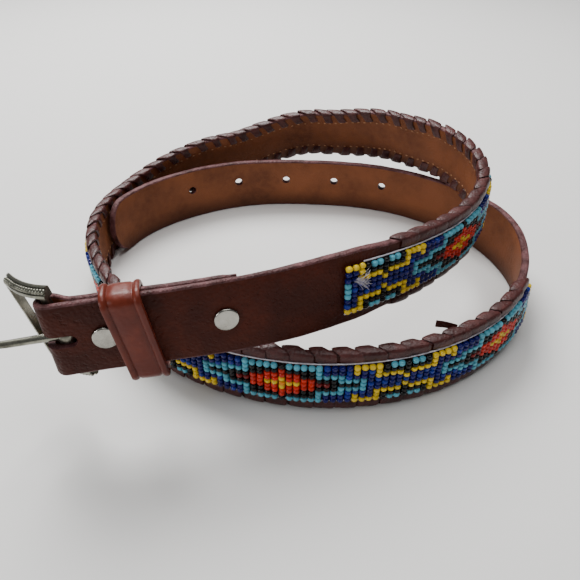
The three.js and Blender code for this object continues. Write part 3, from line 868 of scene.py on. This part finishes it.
# %% Cutter for the prong's slot
SLOT_PAST_BAR = 3.335
SLOT_END = BAR_AT + SLOT_PAST_BAR
SLOT_START = FOLD_EDGE - 2 * GAP
SLOT_HALF = 2.1
end_angles = np.linspace(-np.pi / 2, np.pi / 2, 9)
slot_s = np.concatenate([[SLOT_START], SLOT_END - SLOT_HALF + SLOT_HALF * np.cos(end_angles), [SLOT_START]])
slot_v = np.concatenate([[-SLOT_HALF], SLOT_HALF * np.sin(end_angles), [SLOT_HALF]])
slot_top = OUTER_LAYER + SKIVED
slot_depths = np.array([slot_top - 2 * BEND_RADIUS - 3 * SKIVED, slot_top])[:, None]
cutters.append(sweep("slot", on_belt(slot_s[None], slot_v[None], slot_depths)))
print("slot's end, mm along the belt:", round(SLOT_END, 2))

# %% Cut the holes and the slot
cutter = join_all("cutter", cutters)
cutter.data.materials.append(EDGE)
cut = strap.modifiers.new("Cut", "BOOLEAN")
cut.operation = "DIFFERENCE"
cut.solver = "EXACT"
cut.object = cutter
bpy.context.view_layer.update()
whole = bpy.data.meshes.new_from_object(strap.evaluated_get(bpy.context.evaluated_depsgraph_get()))
strap.modifiers.clear()
strap.data = whole
discard(cutter)
sharpen(strap)
finished(strap, "belt", ["strap"])

# %% [markdown]
# ## Beads
# The band is loomed: nine beads across, 238 columns along. A texture could show the pattern, but the
# glint and the shadow of each bead give the band its look, so every bead is a small mesh with a colour of
# its own. The pattern is a stepped diamond, read from the photo. One half of a diamond is 18
# columns, and the band runs through them to and fro.

# %% Chart of the pattern, from a diamond's middle to the corner between two
CHART = [
    "KRRYYYRRK", "CKRRYRRKC", "CKRRYRRKC", "CKKRRRKKC", "CKKRRRKKC", "CCCKDKCCC", "BBCKDKCBB", "BBCKKKCBB",
    "BBCCKCCBB", "BBBCKCBBB", "YYBCKCBYY", "YBBCCCBBY", "YBBBBBBBY", "YYYBBBYYY", "KKYBBBYKK", "CKYBBBYKC",
    "CKYBBBYKC", "KKKYBYKKK",
]
FIRST_ROW = 11
REPEAT = 2 * (len(CHART) - 1)
COLOURS = {
    "K": srgb(4, 5, 7), "R": srgb(196, 38, 18), "D": srgb(110, 20, 18), "Y": srgb(224, 190, 40),
    "C": srgb(86, 164, 184), "B": srgb(12, 15, 92),
}
ORANGE = srgb(228, 140, 34)
ROYAL = srgb(20, 44, 132)


def chart_row(column):
    place = (column + FIRST_ROW) % REPEAT
    return min(place, REPEAT - place)


print("columns to a repeat:", REPEAT)


# %% One bead, turned on the thread that runs across the belt
def bead_piece():
    profile = [(-0.86, 0.38), (-0.8, 0.8), (-0.42, 1.06), (0.42, 1.06), (0.8, 0.8), (0.86, 0.38)]
    return sweep("bead", np.array(spun_rings(profile, 10)) * MM)


bead = bead_piece()
print("bead:", len(bead.data.polygons), "faces")


# %% Where the beads are and what colour each has
MIDDLE_ROW = 4
ROYAL_SHARE = 0.2


def bead_points(first, last):
    s, v, colours = [], [], []
    for column in range(first, last):
        row = CHART[chart_row(column)]
        for number, letter in enumerate(row):
            tone = np.array(COLOURS[letter][:3])
            if letter == "Y" and number == MIDDLE_ROW and chart_row(column) == 0:
                tone = np.array(ORANGE[:3])
            if letter == "B" and rng.random() < ROYAL_SHARE:
                tone = np.array(ROYAL[:3])
            tone = tone * rng.uniform(0.8, 1.15)
            s.append(BAND_START + (column + 0.5) * PITCH + rng.normal(0, 0.05))
            v.append((MIDDLE_ROW - number) * ROW_PITCH + rng.normal(0, 0.04))
            colours.append((*np.clip(tone, 0, 1), 1.0))
    return np.array(s), np.array(v), np.array(colours)


print("colours:", len(COLOURS) + 2)

# %% [markdown]
# The first few beads at the upper corner have come loose. They could be placed one by one, but it is
# enough to pick them out of the arrays by their place. Those few are turned so that their holes face
# outwards, and stand a little higher. One mesh for each turn of the coil keeps both of them well under
# the limit on triangles.


# %% Place the beads
LOOSE_COLUMNS = 3
BEAD_DEPTH = 0.2 + 1.02


def bead_turn(name, first, last, seed):
    s, v, colours = bead_points(first, last)
    depth = FACE + BEAD_DEPTH + rng.normal(0, 0.05, len(s))
    _, along, across, out = frames_at(s)
    if first == 0:
        loose = (s < BAND_START + LOOSE_COLUMNS * PITCH) & (v > 5)
        astray = along[loose] * rng.normal(0, 0.4, (loose.sum(), 1))
        out[loose] = unit(out[loose] * 0.7 + across[loose] + astray)
        v[loose] += 0.45
        depth[loose] += 0.35
    points = on_belt(s, v, depth)
    obj = placed(name, bead, points, (along, out), (1.06, 1, 0.97), BEADS, seed, (0.035, 0.07), colours)
    return finished(obj, "belt", ["bead_band"])


half_way = COLUMNS // 2
bead_turn("beads_first_turn", 0, half_way, 11)
bead_turn("beads_second_turn", half_way, COLUMNS, 12)
discard(bead)

# %% [markdown]
# The loom's outermost threads show as a thin pale line above and below the beads. A curve with a bevel
# would look like wire, so the path of this tube bulges a little at each column, where the cross thread
# comes round.


# %% Edge threads of the loom
THREAD_AT = 8.62


def edge_thread(name, side):
    start = BAND_START + (LOOSE_COLUMNS * PITCH if side > 0 else 0.4)
    s = np.linspace(start, BAND_END - 0.2, 900)
    bump = np.abs(np.sin(np.pi * (s - BAND_START) / PITCH))
    v = side * (THREAD_AT + 0.12 * bump + 0.06 * wobble(s, 5))
    path = on_belt(s, v, FACE + 0.42 + 0.12 * bump)
    return sweep(name, tube_rings(path, 0.27 * MM, 6))


threads = join_all("edge_threads", [edge_thread("thread_a", 1), edge_thread("thread_b", -1)])
finished(threads, "belt", [], THREAD)


# %% [markdown]
# Where the thread was tied off, its ends have frayed into a small tuft. Hair could make it, but hair
# isn't a mesh. Thirty-six thin tubes are few enough to sweep, each with its own length, angle and curl.


# %% Frayed tuft on the first beads
TUFT_AT = (90.0, 3.6, 3.5)


def tuft():
    fibres = []
    for _ in range(36):
        root_s = TUFT_AT[0] + rng.normal(0, 0.4)
        root_v = TUFT_AT[1] + rng.normal(0, 0.6)
        angle = rng.normal(-0.35, 0.36)
        length = rng.uniform(2.6, 5.8)
        t = np.linspace(0, 1, 6)
        curl = rng.normal(0, 0.9)
        s = root_s + length * t * np.cos(angle)
        v = root_v + length * t * np.sin(angle) + curl * t * t
        c = TUFT_AT[2] + rng.uniform(0.3, 1.5) * np.sin(np.pi * t * 0.8)
        fibres.append(sweep("fibre", tube_rings(on_belt(s, v, c), 0.055 * MM, 3)))
    return join_all("thread_tuft", fibres)


finished(tuft(), "belt", [], THREAD)

# %% [markdown]
# ## Lace
# A flat leather lace is whipped round both edges. One spiral curve could be the whole lace, but every
# real turn is pulled flat, nearly meets the next one, and dives into a slit of its own. So one turn is
# modelled with care, broad outside, slanting over the edge and narrow inside. It is then placed 70 times
# on each edge.


# %% One turn of the lace
LACE_WIDTH = 7.3
LACE_THICK = 0.36


def lace_path():
    """Points of one turn, as height from the edge and depth, from its outer end to its inner end."""
    skin = FACE + 0.6
    outer = [(-2.9, FACE - 0.2), (-2.85, FACE + 0.35)]
    outer += [(-2.4, skin + 0.02), (-1.5, skin + 0.04), (-0.4, skin)]
    angles = np.linspace(0.5, np.pi - 0.5, 9)
    bend = [(np.sin(a) * 0.62 - 0.05, np.cos(a) * (FACE + 0.55)) for a in angles]
    inner = [(-0.4, -skin), (-1.8, -skin - 0.04), (-3.6, -skin - 0.02)]
    inner += [(-4.3, -FACE - 0.35), (-4.4, -FACE + 0.2)]
    return np.array(outer + bend + inner)


def lace_turn(name, side):
    path = lace_path()
    steps = np.concatenate([[0], np.cumsum(np.linalg.norm(np.diff(path, axis=0), axis=1))])
    tangent = unit(np.gradient(path, axis=0))
    normal = np.stack([-tangent[:, 1], tangent[:, 0]], axis=-1)
    outline = [(-1, -0.7), (-1, -0.3), (-0.8, 0.3), (-0.4, 0.72), (0.1, 0.95)]
    outline += [(0.6, 1), (0.88, 0.85), (1, 0.35), (1, -0.7)]
    rings = []
    for (y, z), n, t in zip(path, normal, steps / steps[-1]):
        half = LACE_WIDTH / 2 * (1 - 0.5 * smooth((t - 0.35) / 0.4))
        lead = 2.1 - 3.5 * smooth((t - 0.24) / 0.36) - 1.5 * smooth((t - 0.6) / 0.4)
        lift = n * LACE_THICK
        rings.append([(u * half + lead, side * (y + w * lift[0]), z + w * lift[1]) for u, w in outline])
    return sweep(name, np.array(rings) * MM)


turn_length = np.linalg.norm(np.diff(lace_path(), axis=0), axis=1).sum()
print("one turn of lace, mm:", round(float(turn_length), 1))


# %% Place the lace turns
def lacing(name, node, side, seed):
    turn = lace_turn(name + " turn", side)
    s = LACE_START + LACE_PITCH * (np.arange(LACE_TURNS) + 0.5) + rng.normal(0, 0.22, LACE_TURNS)
    _, along, across, out = frames_at(s)
    points = on_belt(s, side * LACED_EDGE, 0)
    longer = rng.uniform(0.9, 1.1, LACE_TURNS)
    taller = rng.uniform(0.97, 1.03, LACE_TURNS)
    size = np.stack([longer, taller, np.ones(LACE_TURNS)], axis=-1)
    obj = placed(name, turn, points, (along, out), size, LACE, seed, (0.01, 0.02))
    discard(turn)
    sharpen(obj, 50)
    return finished(obj, "belt", [node])


lacing("lace_turns_top", "lacing_top", 1, 21)
lacing("lace_turns_bottom", "lacing_bottom", -1, 22)


# %% [markdown]
# One loose end of the lace sticks out inside the loop. It is a short stiff strip, so a small box swept
# along a nearly straight line is enough, leaving the leather at a slant.


# %% Loose end of the lace
END_TURN = 65
END_LENGTH = 6.5
END_SLANT = 0.66
END_HALF = 1.25


def lace_end():
    t = np.linspace(0, 1, 14)
    s = LACE_START + END_TURN * LACE_PITCH - END_LENGTH * t * 0.75
    c = -FACE - 1.4 - END_LENGTH * t * END_SLANT
    v = LACED_EDGE - 1.7 + 0.3 * np.sin(np.pi * t)
    corners = [(END_HALF, 0.05), (1.1, 0.3), (-1.1, 0.3), (-END_HALF, 0.05)]
    corners += [(-END_HALF, -0.35), (-1.1, -0.5), (1.1, -0.5), (END_HALF, -0.35)]
    u, w = np.array(corners).T
    wider = (1 + 0.2 * t)[:, None]
    rings = on_belt(s[:, None] + w * END_SLANT, v[:, None] + u * wider, c[:, None] + w * 0.75)
    return sweep("lace_loose_end", rings)


finished(sharpen(lace_end()), "belt", ["lace_end"], LACE)

# %% [markdown]
# Two rows of small stitches hold the band to the leather and show on the inner face. A bump could draw
# them, but they catch the light, so each is a small plump capsule, placed by the same tree as the beads.


# %% Stitches on the inner face
STITCH_PITCH = 3.25
STITCH_ROW = 7.0


def stitches():
    profile = [(-0.62, 0.08), (-0.4, 0.26), (0, 0.32), (0.4, 0.26), (0.62, 0.08)]
    angle = full_turn(8)
    rings = [[(x, r * np.cos(a), r * np.sin(a) * 0.7) for a in angle] for x, r in profile]
    stitch = sweep("stitch", np.array(rings) * MM)
    upper = np.arange(BAND_START + 2, BAND_END, STITCH_PITCH)
    s = np.concatenate([upper, upper + 0.4])
    v = np.repeat([STITCH_ROW, -STITCH_ROW], len(upper)) + rng.normal(0, 0.12, len(s))
    _, along, across, out = frames_at(s)
    points = on_belt(s, v, -FACE - 0.05)
    obj = placed("stitches", stitch, points, (along, -out), (1, 1, 1), TAN_THREAD, 31, (0.12, 0.12))
    discard(stitch)
    return finished(obj, "belt", [])


stitches()

# %% [markdown]
# ## Keeper and caps
# The keeper is a loop of polished leather with a raised ridge along each rim, which slants a little on
# the strap. It could be a bent plate, but its ridged section is what the eye sees, so that section is
# swept once round the strap. The caps of the snaps are turned metal, so each is a profile carried round
# its axis.

# %% Keeper loop with a ridge along each rim
KEEPER_HALF = 5.5
KEEPER_START = 17.9
KEEPER_LEAN = np.radians(7.5)
KEEPER_CORNER = 2.2
KEEPER_BELOW = 3


def keeper_path():
    """Points round the strap as (across, depth), each with the way that it faces."""
    front = FACE + 1.8 - KEEPER_CORNER
    back = OUTER_LAYER - LAYER_STEP - SKIVED / 2 - 1.7 + KEEPER_CORNER
    above = WIDTH / 2 + GAP - KEEPER_CORNER
    below = -WIDTH / 2 - KEEPER_BELOW + KEEPER_CORNER
    path = []
    for number, (v, c) in enumerate([(above, front), (below, front), (below, back), (above, back)]):
        for angle in np.pi / 2 * (number + np.arange(9) / 8):
            nv, nc = np.cos(angle), np.sin(angle)
            path.append((v + KEEPER_CORNER * nv, c + KEEPER_CORNER * nc, nv, nc))
    return path


def keeper():
    ridge = [(-1, 0.8), (-0.97, 1.35), (-0.88, 1.6), (-0.76, 1.58)]
    ridge += [(-0.67, 1.3), (-0.62, 0.95), (-0.56, 1.0), (-0.48, 1.22)]
    profile = [(-1, 0.0)] + ridge + [(-0.2, 1.3), (0.2, 1.3)]
    profile += [(-u, h) for u, h in ridge[::-1]] + [(1, 0.0)]
    u, depth = np.array(profile).T
    rings = []
    for v, c, nv, nc in keeper_path():
        s = KEEPER_START + KEEPER_HALF + u * KEEPER_HALF - v * np.tan(KEEPER_LEAN)
        rings.append(on_belt(s, v + nv * depth, c + nc * depth))
    return sweep("keeper_loop", rings, looped=True)


finished(sharpen(keeper(), 45), "belt", ["keeper"], KEEPER)


# %% Snap caps
def cap(name, s):
    back = -SKIVED - LAYER_STEP - GAP
    profile = [(0.02, back - 0.8), (3.0, back - 0.8), (3.5, back), (1.6, back), (1.6, 0.15), (3.6, 0.12)]
    profile += [(3.72, 0.3), (3.72, 0.6), (3.62, 0.84), (3.42, 0.97), (3.2, 1.0)]
    profile += [(2.9, 1.02), (2.0, 1.08), (1.0, 1.13), (0.02, 1.15)]
    angle = full_turn(40)
    rings = [on_belt(s + r * np.cos(angle), r * np.sin(angle), FACE + h) for r, h in profile]
    return sweep(name, rings)


for node, s in CAPS_AT.items():
    finished(sharpen(cap(node + "_dome", s), 35), "belt", [node], CAP_METAL)

# %% [markdown]
# ## Buckle
# The frame is cast metal with a line of rope in a groove, and it turns with the prong on the bar in the
# fold. Modelled where it stands, at an odd angle, its sizes would be lost. So it is drawn straight, with
# x away from the strap, y along the bar and z inwards, and one function then tilts and swings it as the
# photo shows.

# %% Hinge frame
_, hinge_along, hinge_across, hinge_out = (v[0] for v in frames_at(np.array([0.0])))
hinge_centre = on_belt(BAR_AT, 0, OUTER_LAYER - BEND_RADIUS)


def at_hinge(points, swing, tilt):
    """Points in metres from millimetres drawn at the hinge, swung inwards and tilted."""
    x, y, z = np.moveaxis(np.asarray(points, dtype=float), -1, 0)
    x, z = x * np.cos(swing) - z * np.sin(swing), x * np.sin(swing) + z * np.cos(swing)
    x, y = x * np.cos(tilt) + y * np.sin(tilt), -x * np.sin(tilt) + y * np.cos(tilt)
    basis = np.stack([-hinge_along, hinge_across, -hinge_out])
    return hinge_centre + np.stack([x, y, z], axis=-1) @ basis * MM


print("hinge at, mm:", np.round(hinge_centre / MM, 2))

# %% Frame's centre line, three sides open towards the strap
REACH = 18.0
HALF_HEIGHT = 17.1
SIDE = 3.0
ARCH = 6.0


INSET = SIDE / 2
CORNER = 1.9
HEEL = 1.8


def frame_line():
    far = REACH - INSET
    high = HALF_HEIGHT - INSET
    points = [(x, -high) for x in np.linspace(-HEEL, far - CORNER, 14)]
    for angle in np.linspace(-np.pi / 2, 0, 9)[1:]:
        points.append((far - CORNER + CORNER * np.cos(angle), CORNER - high + CORNER * np.sin(angle)))
    points += [(far, y) for y in np.linspace(CORNER - high, high - CORNER, 30)[1:-1]]
    for angle in np.linspace(0, np.pi / 2, 9)[:-1]:
        points.append((far - CORNER + CORNER * np.cos(angle), high - CORNER + CORNER * np.sin(angle)))
    points += [(x, high) for x in np.linspace(far - CORNER, -HEEL, 14)]
    return np.array(points)


def arched(x):
    return ARCH * (np.maximum(x, 0) / REACH) ** 2


print("points on the line:", len(frame_line()))


# %% Frame body with a sunk groove, and the bar
HALF_BAR = SIDE / 2
SLOPE_ASIDE = 0.74
SLOPE_BACK = 0.673


def frame_section():
    """The outer front corner is cut off by a slope with a groove in it, the rest is nearly square."""
    groove = [(0, 0), (0.35, 0.14), (0.62, -0.2), (2.35, -0.2), (2.62, 0.14), (2.97, 0)]
    section = []
    for down, lift in groove:
        aside = HALF_BAR - SLOPE_ASIDE * down + SLOPE_BACK * lift
        section.append((aside, 0.5 - SLOPE_BACK * down - SLOPE_ASIDE * lift))
    return section + [(-1.25, -HALF_BAR), (-HALF_BAR, -1.25), (-HALF_BAR, 1.2), (-1.2, HALF_BAR),
                      (1.2, HALF_BAR), (HALF_BAR, 1.2)]


def buckle_frame():
    line = frame_line()
    direction = unit(np.gradient(line, axis=0))
    outward = np.stack([direction[:, 1], -direction[:, 0]], axis=-1)
    aside, deep = np.array(frame_section()).T
    rings = []
    for (x, y), n in zip(line, outward):
        px = x + n[0] * aside
        py = y + n[1] * aside
        rings.append(at_hinge(np.stack([px, py, deep + arched(px)], axis=-1), SWING, TILT))
    sides = sweep("frame_sides", rings)
    reach = HALF_HEIGHT - SIDE + 0.5
    ends = spun_rings([(y, BAR_RADIUS) for y in np.linspace(-reach, reach, 5)], 24)
    bar = sweep("frame_bar", at_hinge(ends, SWING, TILT))
    return [sides, bar]


frame_parts = buckle_frame()
print("frame parts:", len(frame_parts))


# %% [markdown]
# The rope in the groove is a row of short plump strands, each slanted and resting on the next. It could
# be two twisted curves, but at this size only the row of glints shows. So one strand is spun and placed
# along the frame's line, turned to the slope that it lies on.


# %% Rope in the frame's groove
STRAND_STEP = 1.05


def rope():
    profile = [(-0.9, 0.12), (-0.7, 0.42), (-0.3, 0.56), (0.3, 0.56), (0.7, 0.42), (0.9, 0.12)]
    strand = sweep("strand", np.array(spun_rings(profile, 8)) * MM)
    line = frame_line()
    steps = np.concatenate([[0], np.cumsum(np.linalg.norm(np.diff(line, axis=0), axis=1))])
    at = np.arange(0.5, steps[-1] - 0.4, STRAND_STEP)
    x, y = (np.interp(at, steps, column) for column in line.T)
    next_x, next_y = (np.interp(at + 0.2, steps, column) for column in line.T)
    ahead = unit(np.stack([next_x - x, next_y - y], -1))
    outward = np.stack([ahead[:, 1], -ahead[:, 0], 0 * x], axis=-1)
    forward = np.array([0, 0, -1.0])
    climb = 2 * ARCH * np.maximum(x, 0) / REACH**2 * ahead[:, 0]
    ahead = np.stack([ahead[:, 0], ahead[:, 1], climb], axis=-1)
    centre = np.stack([x, y, arched(x)], axis=-1) + 0.46 * outward + 0.56 * forward
    there = at_hinge(centre, SWING, TILT)
    slanted = ahead + 0.6 * (SLOPE_BACK * forward - SLOPE_ASIDE * outward)
    along = unit(at_hinge(centre + slanted, SWING, TILT) - there)
    out = unit(at_hinge(centre + SLOPE_BACK * outward + SLOPE_ASIDE * forward, SWING, TILT) - there)
    obj = placed("rope", strand, there, (along, out), (1, 1, 1), NICKEL, 41, (0.04, 0.03))
    discard(strand)
    return obj


frame_body = join_all("buckle_frame_cast", [sharpen(part, 35) for part in frame_parts])
finished(frame_body, "frame", ["buckle_frame"], NICKEL)
finished(rope(), "frame", [], NICKEL)


# %% [markdown]
# The prong is a bent rod whose end is rolled into an eye round the bar. A single curve would pinch at the
# eye, so the eye is a turned ring and the stem a row of circles that grow smaller and droop a little at
# the tip.


# %% Prong
EYE_HALF = 1.5
EYE_INSIDE = BAR_RADIUS + GAP + EYE_HALF * np.sin(TILT)
EYE_WALL = 0.7


def prong_eye():
    outside = EYE_INSIDE + EYE_WALL
    upper = [(EYE_INSIDE, -EYE_HALF), (outside - 0.2, -EYE_HALF), (outside, -1.3)]
    ring = upper + [(r, -y) for r, y in upper[::-1]]
    rings = [[(r * np.cos(a), y, r * np.sin(a)) for r, y in ring] for a in full_turn(36)]
    return sweep("eye", at_hinge(rings, 0, 0), looped=True)


def prong_stem():
    xs = np.array([EYE_INSIDE + 0.35, 4, 8, 12, 16, 19, 21.5, 23.1, 23.8, 24])
    radii = np.array([1.44, 1.36, 1.28, 1.22, 1.18, 1.1, 1.0, 0.85, 0.55, 0.2])
    droop = 0.5 * ramp(xs, 15, 24)
    angle = full_turn(16)
    rings = []
    for x, r, d in zip(xs, radii, droop):
        rings.append(np.stack([np.full(16, x), r * np.cos(angle), r * np.sin(angle) * 0.92 + d], axis=-1))
    return sweep("stem", at_hinge(rings, 0, 0))


def prong():
    return join_all("prong_cast", [prong_eye(), prong_stem()])


finished(sharpen(prong(), 50), "prong", ["buckle_prong"], NICKEL)
